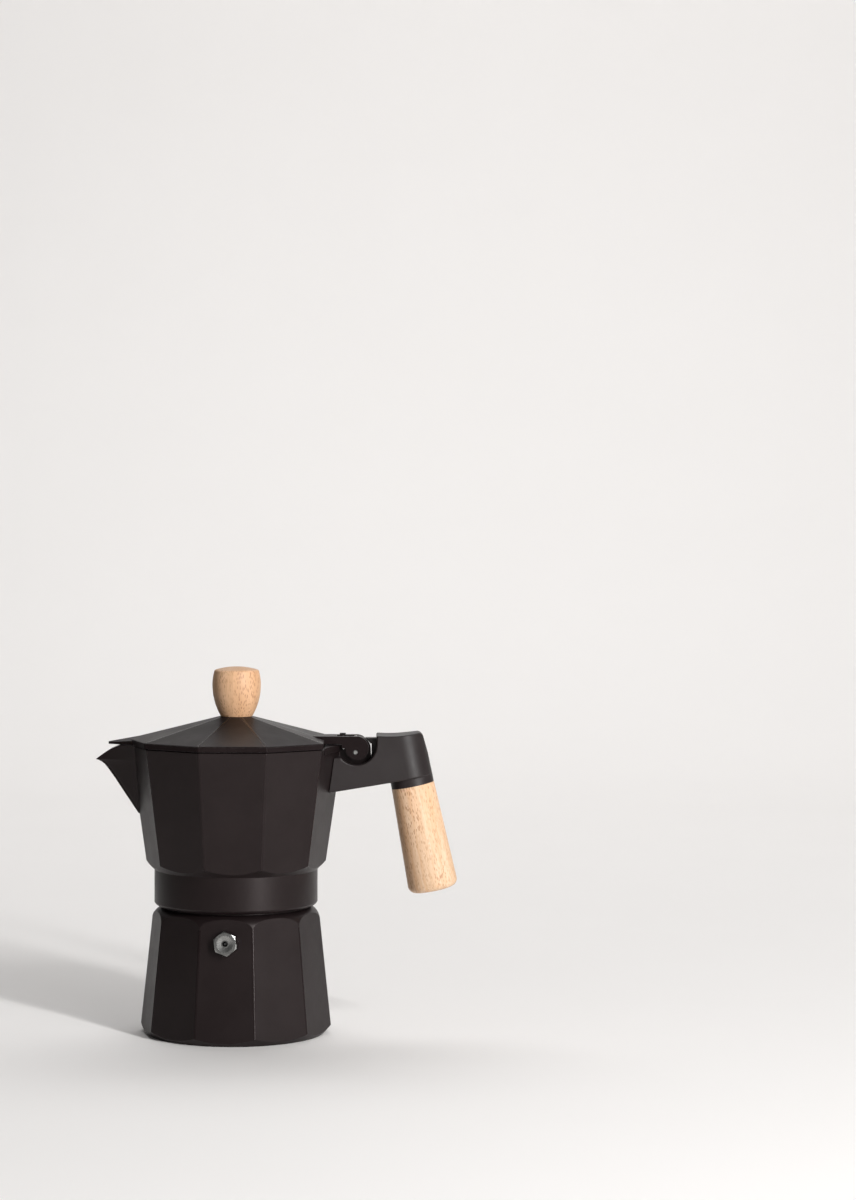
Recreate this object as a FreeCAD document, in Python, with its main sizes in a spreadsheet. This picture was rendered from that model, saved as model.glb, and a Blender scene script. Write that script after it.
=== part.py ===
import FreeCAD, Part
import os
import re

import Sketcher
from FreeCAD import Placement, Rotation, Vector

# Stovetop moka pot: a ten-sided boiler, a screwed-on upper vessel with a hinged lid, and a handle.
# Origin: the centre of the boiler's flat underside. +Z is up, the handle points along +X and the
# spout along -X. Lengths are millimetres and angles are degrees.

X_AXIS = Vector(1, 0, 0)
Y_AXIS = Vector(0, 1, 0)
Z_AXIS = Vector(0, 0, 1)

# Driving dimensions. Every cell of the sheet holds one of these numbers under its own name.
SIZES = {
    # ten-sided bodies
    "sides": 10,
    "side_step": 36,
    "cast_edge": 1.2,
    "rim_bevel": 0.35,
    # boiler
    "boiler_twist": -4.6,
    "boiler_foot_corner": 42.35,
    "boiler_top_corner": 36.45,
    "boiler_top": 55.4,
    "foot_radius": 38.8,
    "foot_corner": 42.1,
    "foot_height": 3.6,
    "shoulder_low_radius": 37.05,
    "shoulder_low": 49.0,
    "shoulder_top": 55.3,
    "shoulder_bow": 6.3,
    "neck_radius": 30.7,
    "neck_collar_radius": 31.7,
    "neck_bore": 28.0,
    "boiler_rim": 65.2,
    "floor_thickness": 3.0,
    "cavity_low_radius": 36.0,
    "cavity_top_radius": 32.3,
    "cavity_top": 46.0,
    "cavity_corner": 2.0,
    # screw thread between boiler and collector
    "thread_pitch": 3.0,
    "thread_crest": 0.7,
    "thread_root": 1.5,
    "thread_sink": 0.3,
    "male_crest_radius": 31.7,
    "male_start": 56.6,
    "male_length": 6.0,
    "female_crest_radius": 31.0,
    "female_root_radius": 32.0,
    "female_start": 58.1,
    "female_length": 6.0,
    # safety valve, on its own axis with zero at the boiler's face
    "valve_angle": -94.6,
    "valve_height": 43.8,
    "valve_lean": 5.8,
    "valve_turn": 9.5,
    "valve_boss_radius": 7.0,
    "valve_boss_depth": 6.4,
    "valve_thread_radius": 4.0,
    "valve_shank": 7.2,
    "valve_spot_radius": 5.4,
    "valve_spot_depth": 0.12,
    "washer_thickness": 0.8,
    "washer_radius": 4.55,
    "hex_across": 9.3,
    "hex_height": 3.3,
    "hex_bevel": 0.45,
    "hex_dish_radius": 3.5,
    "hex_dish_depth": 0.5,
    "vent_radius": 1.2,
    "chamber_radius": 2.4,
    "chamber_top": 2.2,
    "seat_thickness": 1.5,
    "seat_hole": 1.1,
    "poppet_radius": 2.1,
    "poppet_thickness": 1.2,
    "poppet_stem": 0.75,
    "poppet_reach": 3.2,
    "spring_radius": 1.7,
    "spring_wire": 0.22,
    "spring_turns": 4,
    # funnel and filters
    "funnel_flange_radius": 30.4,
    "funnel_radius": 26.8,
    "sheet_metal": 0.8,
    "funnel_shoulder": 44.0,
    "funnel_throat": 36.5,
    "funnel_stem_radius": 4.4,
    "funnel_stem_foot": 8.0,
    "strainer_gap": 0.1,
    "strainer_hole": 0.8,
    "gasket_height": 3.0,
    "gasket_inner": 25.9,
    "gasket_outer": 32.3,
    "gasket_seat_radius": 32.6,
    "plate_radius": 28.4,
    "plate_dish_radius": 25.6,
    "plate_hole": 0.55,
    # collector
    "collar_radius": 35.7,
    "collar_foot": 55.9,
    "collar_foot_radius": 32.9,
    "collar_foot_edge": 57.6,
    "collar_foot_bow": 3.0,
    "collar_top": 71.9,
    "collector_floor": 72.6,
    "collector_low_corner": 38.89,
    "collector_rim_corner": 46.6,
    "collector_rim": 126.1,
    "collector_wall": 2.8,
    "flare_corner": 39.4,
    "flare_height": 75.5,
    "column_seat": 5.2,
    # spout
    "spout_root": 8.0,
    "spout_foot": 95.7,
    "spout_wall": 1.9,
    "spout_channel_foot": 100.0,
    "nose_foot_height": 95.9,
    "nose_foot_reach": 42.7,
    "nose_low_height": 104.4,
    "nose_low_reach": 48.4,
    "nose_middle_height": 111.4,
    "nose_middle_reach": 53.0,
    "nose_high_height": 115.5,
    "nose_high_reach": 55.9,
    "nose_throat_height": 117.5,
    "nose_throat_reach": 57.5,
    "nose_curl_height": 118.6,
    "nose_curl_reach": 58.9,
    "nose_lip_height": 119.3,
    "nose_lip_reach": 60.3,
    "nose_tip_height": 119.7,
    "nose_tip_reach": 61.6,
    "nose_top_height": 127.0,
    "nose_top_reach": 61.6,
    "mouth_tip_x": -61.55,
    "mouth_tip_z": 119.6,
    "mouth_rise_x": -54.6,
    "mouth_rise_z": 124.4,
    "mouth_bow": 60.0,
    "mouth_rim_x": -50.4,
    "mouth_back_x": -38.0,
    # hinge
    "pin_x": 52.1,
    "pin_z": 123.4,
    "pin_radius": 1.1,
    "pin_clearance": 0.06,
    "pin_half": 7.1,
    "lug_half": 3.1,
    "lug_centre_x": 53.0,
    "lug_centre_z": 124.3,
    "lug_radius": 5.9,
    "ledge_x": 38.8,
    "ledge_top": 126.5,
    "ledge_thickness": 3.0,
    "cheek_centre_x": 52.8,
    "cheek_centre_z": 125.2,
    "cheek_radius": 5.1,
    "cheek_inside": 3.4,
    "cheek_outside": 7.0,
    "cheek_foot_x": 46.2,
    "neck_bridge_x": 44.0,
    "neck_bridge_low": 126.9,
    "neck_bridge_start": 33.0,
    "hinge_sweep_radius": 7.4,
    "bumper_x": 45.2,
    "bumper_length": 2.6,
    "bumper_width": 2.4,
    "bumper_height": 0.6,
    # lid
    "lid_corner": 47.4,
    "lid_foot": 126.4,
    "lid_edge": 128.8,
    "lid_top": 138.7,
    "lid_top_corner": 7.4,
    "lid_round": 0.8,
    "lid_skirt": 2.4,
    "lid_thickness": 1.8,
    "beak_start": 40.0,
    "beak_start_half": 11.5,
    "beak_start_ridge": 130.4,
    "beak_tip": 55.8,
    "beak_tip_half": 0.7,
    "beak_tip_edge": 127.1,
    "beak_tip_ridge": 127.5,
    # knob
    "knob_foot_radius": 6.9,
    "knob_belly_radius": 10.6,
    "knob_belly": 152.2,
    "knob_flare_bow": 27.0,
    "knob_shoulder_bow": 23.0,
    "knob_shoulder_radius": 9.9,
    "knob_shoulder": 157.9,
    "knob_edge_radius": 9.0,
    "knob_edge": 159.1,
    "knob_edge_bow": 1.3,
    "knob_top": 160.4,
    "knob_insert_radius": 3.0,
    "knob_insert_low": 139.4,
    "knob_insert_length": 8.6,
    "screw_radius": 1.95,
    "screw_hole": 2.2,
    "screw_head_radius": 3.7,
    "screw_head": 2.2,
    "slot_width": 0.9,
    "slot_depth": 1.0,
    "knob_washer_radius": 4.3,
    "washer_sheet": 0.6,
    # riser column
    "column_foot_radius": 7.6,
    "column_foot": 74.4,
    "column_low_radius": 6.2,
    "column_top_radius": 4.8,
    "column_top": 112.0,
    "column_dome": 114.6,
    "column_bore": 3.0,
    "column_bore_top": 110.6,
    "column_port": 2.0,
    "column_port_z": 107.6,
    # handle bracket
    "bracket_half": 10.5,
    "bracket_gap": 0.35,
    "bracket_low_x": 40.65,
    "bracket_low_z": 105.9,
    "bracket_elbow_x": 67.2,
    "bracket_elbow_z": 110.3,
    "bracket_end_x": 86.6,
    "bracket_end_z": 113.7,
    "bracket_crown_x": 81.9,
    "bracket_crown_z": 129.7,
    "bracket_crown_bow": 2.8,
    "bracket_top_x": 79.3,
    "bracket_top_z": 132.0,
    "bracket_top_bow": 62.0,
    "recess_x": 52.5,
    "recess_z": 127.0,
    "recess_radius": 8.8,
    "recess_wall_top": 130.9,
    "recess_lip_z": 121.3,
    "recess_lip_x": 45.75,
    "bracket_web_half": 3.1,
    "bracket_web_top": 129.4,
    "tongue_end_x": 59.1,
    "tongue_root_x": 42.0,
    "tongue_root_z": 109.4,
    "tongue_end_z": 112.3,
    "tongue_gap": 0.15,
    "bracket_edge": 0.7,
    "bracket_screw_x": 51.0,
    "bracket_screw_z": 107.62,
    "bracket_screw_lean": 9.4,
    "bracket_screw_radius": 1.5,
    "bracket_screw_head": 2.7,
    "bracket_screw_sink": 1.9,
    "bracket_screw_length": 9.4,
    # grip, on its own axis with zero at the joint with the bracket
    "grip_x": 77.3,
    "grip_z": 108.6,
    "grip_lean": 11.6,
    "grip_top_radius": 9.45,
    "grip_end_radius": 10.9,
    "grip_length": 47.2,
    "grip_edge_bow": 3.2,
    "grip_end_flat": 8.4,
    "grip_dome": 0.5,
    "grip_spigot": 7.0,
    "grip_spigot_height": 5.0,
    "socket_radius": 9.4,
    "socket_height": 6.0,
    "socket_gap": 0.1,
    "grip_sink_radius": 5.2,
    "grip_sink": 5.0,
    "bracket_end_reach": 9.35,
    "grip_insert_radius": 3.1,
    "grip_insert_length": 8.0,
}

doc = FreeCAD.newDocument("moka_pot")
sheet = doc.addObject("Spreadsheet::Sheet", "sizes")
for row, (alias, number) in enumerate(SIZES.items(), start=1):
    sheet.set(f"A{row}", str(number))
    sheet.setAlias(f"A{row}", alias)
doc.recompute()

parts = {}


def bound(text):
    """The expression with each sheet name written the way the document refers to it."""
    return re.sub(r"[a-z_]+", lambda m: f"sizes.{m[0]}" if m[0] in SIZES else m[0], str(text))


def value(text):
    """The number that an expression of sheet names gives."""
    return float(sheet.evalExpression(bound(text)))


def point(pair):
    return Vector(value(pair[0]), value(pair[1]), 0)


def bow(start, end, radius, side):
    """A point on the arc from start to end that bulges to the left (side 1) or right (side -1)."""
    chord = end - start
    left = Vector(-chord.y, chord.x, 0).normalize()
    rise = radius - (radius**2 - chord.Length**2 / 4) ** 0.5
    return (start + end) / 2 + left * rise * side


def dome(half, rise):
    """The radius of an arc that is level where it meets the axis."""
    return f"(({half})^2 + ({rise})^2) / 2 / ({rise})"


def draw_outline(sketch, corners):
    """A closed outline through corners, each pinned to the sheet.

    A corner is (x, y), or (x, y, radius, side) where an arc leads to it from the corner before.
    """
    places = [point(corner) for corner in corners]
    ends = []
    for index, corner in enumerate(corners):
        start = places[index - 1]
        end = places[index]
        if len(corner) == 2:
            edge = sketch.addGeometry(Part.LineSegment(start, end))
            last = 2
        else:
            radius = value(corner[2])
            middle = bow(start, end, radius, corner[3])
            edge = sketch.addGeometry(Part.Arc(start, middle, end))
            last = 2 if sketch.getPoint(edge, 2).isEqual(end, 1e-6) else 1
            bent = sketch.addConstraint(Sketcher.Constraint("Radius", edge, radius))
            sketch.setExpression(f"Constraints[{bent}]", bound(corner[2]))
        for kind, number, text in (("DistanceX", end.x, corner[0]), ("DistanceY", end.y, corner[1])):
            pin = sketch.addConstraint(Sketcher.Constraint(kind, edge, last, number))
            sketch.setExpression(f"Constraints[{pin}]", bound(text))
        ends.append((edge, last))
    for (edge, last), (following, following_last) in zip(ends, ends[1:] + ends[:1]):
        first = 3 - following_last
        sketch.addConstraint(Sketcher.Constraint("Coincident", edge, last, following, first))


def draw_circle(sketch, x, y, radius):
    """A circle with its centre and radius pinned to the sheet."""
    centre = point((x, y))
    edge = sketch.addGeometry(Part.Circle(centre, Z_AXIS, value(radius)))
    for kind, number, text in (("DistanceX", centre.x, x), ("DistanceY", centre.y, y)):
        pin = sketch.addConstraint(Sketcher.Constraint(kind, edge, 3, number))
        sketch.setExpression(f"Constraints[{pin}]", bound(text))
    size = sketch.addConstraint(Sketcher.Constraint("Radius", edge, value(radius)))
    sketch.setExpression(f"Constraints[{size}]", bound(radius))


def new_body(name):
    return doc.addObject("PartDesign::Body", name)


def new_sketch(body, name, plane="XZ_Plane", lift="0"):
    """A sketch on one of the body's own planes, lifted off it along its normal."""
    sketch = body.newObject("Sketcher::SketchObject", f"{body.Name}_{name}_sketch")
    base = [each for each in body.Origin.OriginFeatures if each.Role == plane][0]
    sketch.AttachmentSupport = [(base, "")]
    sketch.MapMode = "FlatFace"
    sketch.AttachmentOffset = Placement(Vector(0, 0, value(lift)), Rotation())
    sketch.setExpression("AttachmentOffset.Base.z", bound(lift))
    return sketch


def turned(body, name, corners, kind="Revolution"):
    """A Revolution or a Groove of an outline of (radius, height) about the body's Z axis."""
    sketch = new_sketch(body, name)
    draw_outline(sketch, corners)
    feature = body.newObject(f"PartDesign::{kind}", f"{body.Name}_{name}")
    feature.Profile = sketch
    feature.ReferenceAxis = (sketch, ["V_Axis"])
    feature.Angle = 360
    return feature


def plate(body, name, corners, depth, kind="Pad"):
    """A Pad or a Pocket of an outline in the XZ plane, to both sides of it, depth thick in all."""
    sketch = new_sketch(body, name)
    draw_outline(sketch, corners)
    feature = body.newObject(f"PartDesign::{kind}", f"{body.Name}_{name}")
    feature.Profile = sketch
    feature.SideType = "Symmetric"
    feature.Length = value(depth)
    feature.setExpression("Length", bound(depth))
    return feature


def cross_bore(body, name, x, z, radius, depth):
    """A round hole along Y through the body."""
    sketch = new_sketch(body, name)
    draw_circle(sketch, x, z, radius)
    feature = body.newObject("PartDesign::Pocket", f"{body.Name}_{name}")
    feature.Profile = sketch
    feature.SideType = "Symmetric"
    feature.Length = value(depth)
    feature.setExpression("Length", bound(depth))
    return feature


def ring_of_holes(body, name, radius, lift, hole, count):
    """Round holes on a circle, cut straight through the body with a polar pattern."""
    sketch = new_sketch(body, name, "XY_Plane", lift)
    draw_circle(sketch, radius, "0", hole)
    drilled = body.newObject("PartDesign::Pocket", f"{body.Name}_{name}")
    drilled.Profile = sketch
    drilled.Type = "ThroughAll"
    drilled.SideType = "Symmetric"
    pattern = body.newObject("PartDesign::PolarPattern", f"{body.Name}_{name}_ring")
    pattern.Originals = [drilled]
    pattern.Axis = (sketch, ["N_Axis"])
    pattern.Angle = 360
    pattern.Occurrences = count
    body.Tip = pattern


def polygon(corner, twist="0", sides=None, rounding=None):
    """The corners of the ten-sided section with this corner radius, less any left out.

    With a rounding, each corner becomes the two ends of an arc of that radius.
    """
    corners = []
    for side in sides or range(int(value("sides"))):
        angle = f"(side_step * {side} + {twist})"
        x = f"({corner}) * cos({angle})"
        y = f"({corner}) * sin({angle})"
        if rounding is None or (sides and side in (sides[0], sides[-1])):
            corners.append((x, y))
            continue
        trim = f"{rounding} * tan(side_step / 2)"
        before = f"({angle} - side_step / 2)"
        after = f"({angle} + side_step / 2)"
        corners.append((f"{x} + {trim} * sin{before}", f"{y} - {trim} * cos{before}"))
        corners.append((f"{x} - {trim} * sin{after}", f"{y} + {trim} * cos{after}", rounding, -1))
    return corners


def tapered(body, name, low, high, kind="AdditiveLoft"):
    """A loft between two outlines, each given as (corners, height)."""
    sketches = []
    for label, (corners, height) in (("low", low), ("high", high)):
        sketch = new_sketch(body, f"{name}_{label}", "XY_Plane", height)
        draw_outline(sketch, corners)
        sketches.append(sketch)
    feature = body.newObject(f"PartDesign::{kind}", f"{body.Name}_{name}")
    feature.Profile = sketches[0]
    feature.Sections = [sketches[1]]
    feature.Ruled = True
    return feature


def thread(body, name, root_radius, crest_radius, start, length):
    """A helical ridge on a wall of this root radius, sunk a little into it."""
    outward = "1" if value(crest_radius) > value(root_radius) else "-1"
    foot = f"{root_radius} - {outward} * thread_sink"
    sketch = new_sketch(body, name)
    corners = [
        (foot, f"{start} - thread_root / 2"),
        (crest_radius, f"{start} - thread_crest / 2"),
        (crest_radius, f"{start} + thread_crest / 2"),
        (foot, f"{start} + thread_root / 2"),
    ]
    draw_outline(sketch, corners)
    feature = body.newObject("PartDesign::AdditiveHelix", f"{body.Name}_{name}")
    feature.Profile = sketch
    feature.ReferenceAxis = (sketch, ["V_Axis"])
    feature.Mode = 0
    feature.Pitch = value("thread_pitch")
    feature.Height = value(length)
    feature.setExpression("Pitch", bound("thread_pitch"))
    feature.setExpression("Height", bound(length))
    return feature


def cylinder(name, radius, low, high, frame=None):
    """A Part cylinder about Z between two heights of its own frame."""
    solid = doc.addObject("Part::Cylinder", name)
    solid.setExpression("Radius", bound(radius))
    solid.setExpression("Height", bound(f"({high}) - ({low})"))
    solid.Placement = (frame or Placement()).multiply(Placement(Vector(0, 0, value(low)), Rotation()))
    return solid


def box(name, low, high, frame=None):
    """A Part box between two corners of its own frame."""
    solid = doc.addObject("Part::Box", name)
    for side, start, end in zip(("Length", "Width", "Height"), low, high):
        solid.setExpression(side, bound(f"({end}) - ({start})"))
    corner = Vector(*[value(text) for text in low])
    solid.Placement = (frame or Placement()).multiply(Placement(corner, Rotation()))
    return solid


def combined(kind, name, base, tools):
    """A chain of Part fuses or cuts, one tool at a time, whose last link carries the name."""
    for index, tool in enumerate(tools, start=1):
        link = doc.addObject(kind, name if index == len(tools) else f"{name}_{index}")
        link.Base = base
        link.Tool = tool
        base = link
    return base


def joined(name, base, *tools):
    return combined("Part::Fuse", name, base, tools)


def cut(name, base, *tools):
    return combined("Part::Cut", name, base, tools)


def rounded(name, base, radius, chosen):
    """A Part fillet along the edges whose bounding box the test chooses."""
    doc.recompute()
    fillet = doc.addObject("Part::Fillet", name)
    fillet.Base = base
    size = value(radius)
    edges = enumerate(base.Shape.Edges, start=1)
    fillet.Edges = [(index, size, size) for index, edge in edges if chosen(edge.BoundBox)]
    return fillet


def on_side(box):
    """Whether an edge lies in one of the bracket's two flat sides."""
    return box.YLength < 0.01 and abs(abs(box.YMin) - value("bracket_half")) < 0.01


def keep(label, thing):
    """Names a finished sub-part."""
    thing.Label = label
    parts[label] = thing


VALVE_TURN = Rotation(Z_AXIS, value("valve_angle"))
VALVE_OUT = VALVE_TURN.multVec(X_AXIS)
FACE_CORNER = (
    "boiler_foot_corner + (boiler_top_corner - boiler_foot_corner) * valve_height / boiler_top"
)
FACE_DISTANCE = value(f"({FACE_CORNER}) * cos(side_step / 2) - valve_spot_depth")
VALVE_FRAME = Placement(
    VALVE_OUT * FACE_DISTANCE + Z_AXIS * value("valve_height"),
    VALVE_TURN.multiply(Rotation(Y_AXIS, 90 - value("valve_lean"))),
)
GRIP_FRAME = Placement(
    Vector(value("grip_x"), 0, value("grip_z")), Rotation(Y_AXIS, -value("grip_lean"))
)
SCREW_FRAME = Placement(
    Vector(value("bracket_screw_x"), 0, value("bracket_screw_z")),
    Rotation(Y_AXIS, -value("bracket_screw_lean")),
)


def make_boiler():
    body = new_body("boiler")
    tapered(
        body,
        "sides",
        (polygon("boiler_foot_corner", "boiler_twist", rounding="cast_edge"), "0"),
        (polygon("boiler_top_corner", "boiler_twist", rounding="cast_edge"), "boiler_top"),
    )
    turned(
        body,
        "foot_bevel",
        [("foot_radius", "0"), ("foot_radius + 8", "0"), ("foot_radius + 8", "foot_height"),
         ("foot_corner", "foot_height")],
        "Groove",
    )
    turned(
        body,
        "shoulder_cut",
        [("neck_collar_radius", "boiler_top + 5"), ("boiler_foot_corner", "boiler_top + 5"),
         ("boiler_foot_corner", "shoulder_low"), ("shoulder_low_radius", "shoulder_low"),
         ("neck_collar_radius", "shoulder_top", "shoulder_bow", -1)],
        "Groove",
    )
    turned(
        body,
        "neck",
        [("neck_bore - 6", "cavity_top + 2"), ("neck_collar_radius", "cavity_top + 2"),
         ("neck_collar_radius", "shoulder_top + 0.5"), ("neck_radius", "shoulder_top + 1"),
         ("neck_radius", "boiler_rim - 0.5"), ("neck_radius - 0.5", "boiler_rim"),
         ("neck_bore - 6", "boiler_rim")],
    )
    turned(
        body,
        "cavity",
        [("0", "floor_thickness"), ("cavity_low_radius - cavity_corner", "floor_thickness"),
         ("cavity_low_radius", "floor_thickness + cavity_corner", "cavity_corner", -1),
         ("cavity_top_radius", "cavity_top"), ("neck_bore", "cavity_top + 5.5"),
         ("neck_bore", "boiler_rim + 1"), ("0", "boiler_rim + 1")],
        "Groove",
    )
    thread(body, "thread", "neck_radius", "male_crest_radius", "male_start", "male_length")
    boss = cylinder("valve_boss", "valve_boss_radius", "-valve_boss_depth", "-1", VALVE_FRAME)
    pad = cylinder("valve_spot_face", "valve_spot_radius", "0", "4", VALVE_FRAME)
    bore = cylinder("valve_bore", "valve_thread_radius", "-valve_boss_depth - 4", "4", VALVE_FRAME)
    keep("base_boiler", cut("boiler_drilled", joined("boiler_bossed", body, boss), pad, bore))


def make_valve():
    washer = new_body("valve_washer_body")
    turned(
        washer,
        "ring",
        [("valve_thread_radius", "0"), ("washer_radius", "0"), ("washer_radius", "washer_thickness"),
         ("valve_thread_radius", "washer_thickness")],
    )
    washer.Placement = VALVE_FRAME
    keep("valve_washer", washer)

    hexagon = new_body("valve_body_solid")
    corner = "hex_across / 2 / cos(30)"
    sketch = new_sketch(hexagon, "head", "XY_Plane", "washer_thickness")
    angles = [f"(60 * {side} + valve_turn)" for side in range(6)]
    draw_outline(sketch, [(f"{corner} * cos{angle}", f"{corner} * sin{angle}") for angle in angles])
    head = hexagon.newObject("PartDesign::Pad", "valve_body_head")
    head.Profile = sketch
    head.setExpression("Length", bound("hex_height"))
    top = "washer_thickness + hex_height"
    turned(
        hexagon,
        "bevel",
        [("hex_across / 2", top), ("hex_across / 2 + 2", top),
         ("hex_across / 2 + 2", f"{top} - hex_bevel * 2.4")],
        "Groove",
    )
    turned(
        hexagon,
        "shank",
        [("0", "-valve_shank"), ("valve_thread_radius - 0.4", "-valve_shank"),
         ("valve_thread_radius", "0.4 - valve_shank"), ("valve_thread_radius", "washer_thickness"),
         ("0", "washer_thickness")],
    )
    turned(
        hexagon,
        "bore",
        [("0", "-valve_shank - 1"), ("chamber_radius", "-valve_shank - 1"),
         ("chamber_radius", "chamber_top"), ("vent_radius", "chamber_top + 0.7"),
         ("vent_radius", f"{top} - hex_dish_depth"), ("vent_radius + 0.5", f"{top} - hex_dish_depth"),
         ("hex_dish_radius", f"{top} - 0.1"), ("hex_dish_radius", f"{top} + 1"),
         ("0", f"{top} + 1")],
        "Groove",
    )
    hexagon.Placement = VALVE_FRAME
    keep("valve_body", hexagon)

    seat = new_body("valve_seat_body")
    turned(
        seat,
        "ring",
        [("seat_hole", "-valve_shank"), ("chamber_radius", "-valve_shank"),
         ("chamber_radius", "seat_thickness - valve_shank"),
         ("seat_hole + 0.5", "seat_thickness - valve_shank"),
         ("seat_hole", "seat_thickness - valve_shank - 0.5")],
    )
    seat.Placement = VALVE_FRAME
    keep("valve_seat", seat)

    poppet = new_body("valve_plunger_body")
    foot = "seat_thickness - valve_shank"
    turned(
        poppet,
        "poppet",
        [("0", foot), ("poppet_radius", foot), ("poppet_radius", f"{foot} + poppet_thickness"),
         ("poppet_stem", f"{foot} + poppet_thickness"), ("poppet_stem", "poppet_reach - 0.3"),
         ("poppet_stem - 0.3", "poppet_reach"), ("0", "poppet_reach")],
    )
    poppet.Placement = VALVE_FRAME
    keep("valve_plunger", poppet)

    spring = new_body("valve_spring_body")
    low = f"{foot} + poppet_thickness + spring_wire + 0.03"
    coil_height = f"chamber_top - spring_wire - 0.03 - ({low})"
    sketch = new_sketch(spring, "wire")
    draw_circle(sketch, "spring_radius", low, "spring_wire")
    coil = spring.newObject("PartDesign::AdditiveHelix", "valve_spring_coil")
    coil.Profile = sketch
    coil.ReferenceAxis = (sketch, ["V_Axis"])
    coil.Mode = 0
    coil.Pitch = value(f"({coil_height}) / spring_turns")
    coil.Height = value(coil_height)
    coil.setExpression("Pitch", bound(f"({coil_height}) / spring_turns"))
    coil.setExpression("Height", bound(coil_height))
    spring.Placement = VALVE_FRAME
    keep("valve_spring", spring)


def make_funnel():
    body = new_body("funnel_body")
    inner = "funnel_radius - sheet_metal"
    turned(
        body,
        "spun_sheet",
        [("funnel_flange_radius", "boiler_rim"),
         ("funnel_flange_radius", "boiler_rim + sheet_metal"),
         (inner, "boiler_rim + sheet_metal"), (inner, "funnel_shoulder + sheet_metal"),
         ("funnel_stem_radius - sheet_metal", "funnel_throat + sheet_metal"),
         ("funnel_stem_radius - sheet_metal", "funnel_stem_foot"),
         ("funnel_stem_radius", "funnel_stem_foot"), ("funnel_stem_radius", "funnel_throat"),
         ("funnel_radius", "funnel_shoulder"), ("funnel_radius", "boiler_rim")],
    )
    keep("funnel", body)

    strainer = new_body("funnel_strainer_body")
    low = "funnel_shoulder + sheet_metal"
    turned(
        strainer,
        "disc",
        [("0", low), (f"{inner} - strainer_gap", low),
         (f"{inner} - strainer_gap", f"{low} + sheet_metal"), ("0", f"{low} + sheet_metal")],
    )
    for ring in range(1, 5):
        ring_of_holes(strainer, f"ring_{ring}", f"{ring} * 5.2", low, "strainer_hole", 6 * ring)
    keep("funnel_strainer", strainer)


def make_filter():
    low = "boiler_rim + sheet_metal"
    top = f"{low} + gasket_height"
    rebate = f"{top} - sheet_metal"
    gasket = new_body("gasket_body")
    turned(
        gasket,
        "ring",
        [("gasket_inner", low), ("gasket_outer", low), ("gasket_outer", top),
         ("plate_radius", top), ("plate_radius", rebate), ("gasket_inner", rebate)],
    )
    keep("gasket", gasket)

    disc = new_body("filter_plate_body")
    turned(
        disc,
        "dished_sheet",
        [("0", f"{rebate} - sheet_metal"), ("plate_dish_radius", f"{rebate} - sheet_metal"),
         ("plate_dish_radius", rebate), ("plate_radius", rebate), ("plate_radius", top),
         ("plate_dish_radius - sheet_metal", top), ("plate_dish_radius - sheet_metal", rebate),
         ("0", rebate)],
    )
    for ring in range(1, 6):
        ring_of_holes(disc, f"ring_{ring}", f"{ring} * 4.4", rebate, "plate_hole", 6 * ring)
    keep("filter_plate", disc)


NOSE_STATIONS = ("foot", "low", "middle", "high", "throat", "curl", "lip", "tip", "top")


def spout_section(height, reach, inset, overlap):
    """The spout's V at one height: its nose at -reach, its roots on the two faces beside it."""
    corner = value(
        "collector_low_corner + (collector_rim_corner - collector_low_corner)"
        f" * ({height} - collar_top) / (collector_rim - collar_top)"
    )
    share = (height - value("spout_foot")) / value("collector_rim - spout_foot")
    half = max(share, 0.02) * value("spout_root")
    root = corner - half * value("tan(side_step / 2)")
    run = Vector(reach - root, half, 0)
    along = Vector(run).normalize()
    nose = -reach + inset / along.y
    far_x = -root + overlap
    far_y = (far_x - nose) * along.y / along.x
    return Part.makePolygon(
        [Vector(nose, 0, height), Vector(far_x, -far_y, height), Vector(far_x, far_y, height),
         Vector(nose, 0, height)]
    )


def spout_loft(inset, foot, overlap):
    """The spout's wedge through its stations above a foot height, set in by a wall."""
    sections = []
    for station in NOSE_STATIONS:
        height = value(f"nose_{station}_height")
        if height > value(foot):
            reach = value(f"nose_{station}_reach")
            sections.append(spout_section(height, reach, value(inset), overlap))
    return Part.makeLoft(sections, True, True)


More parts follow.
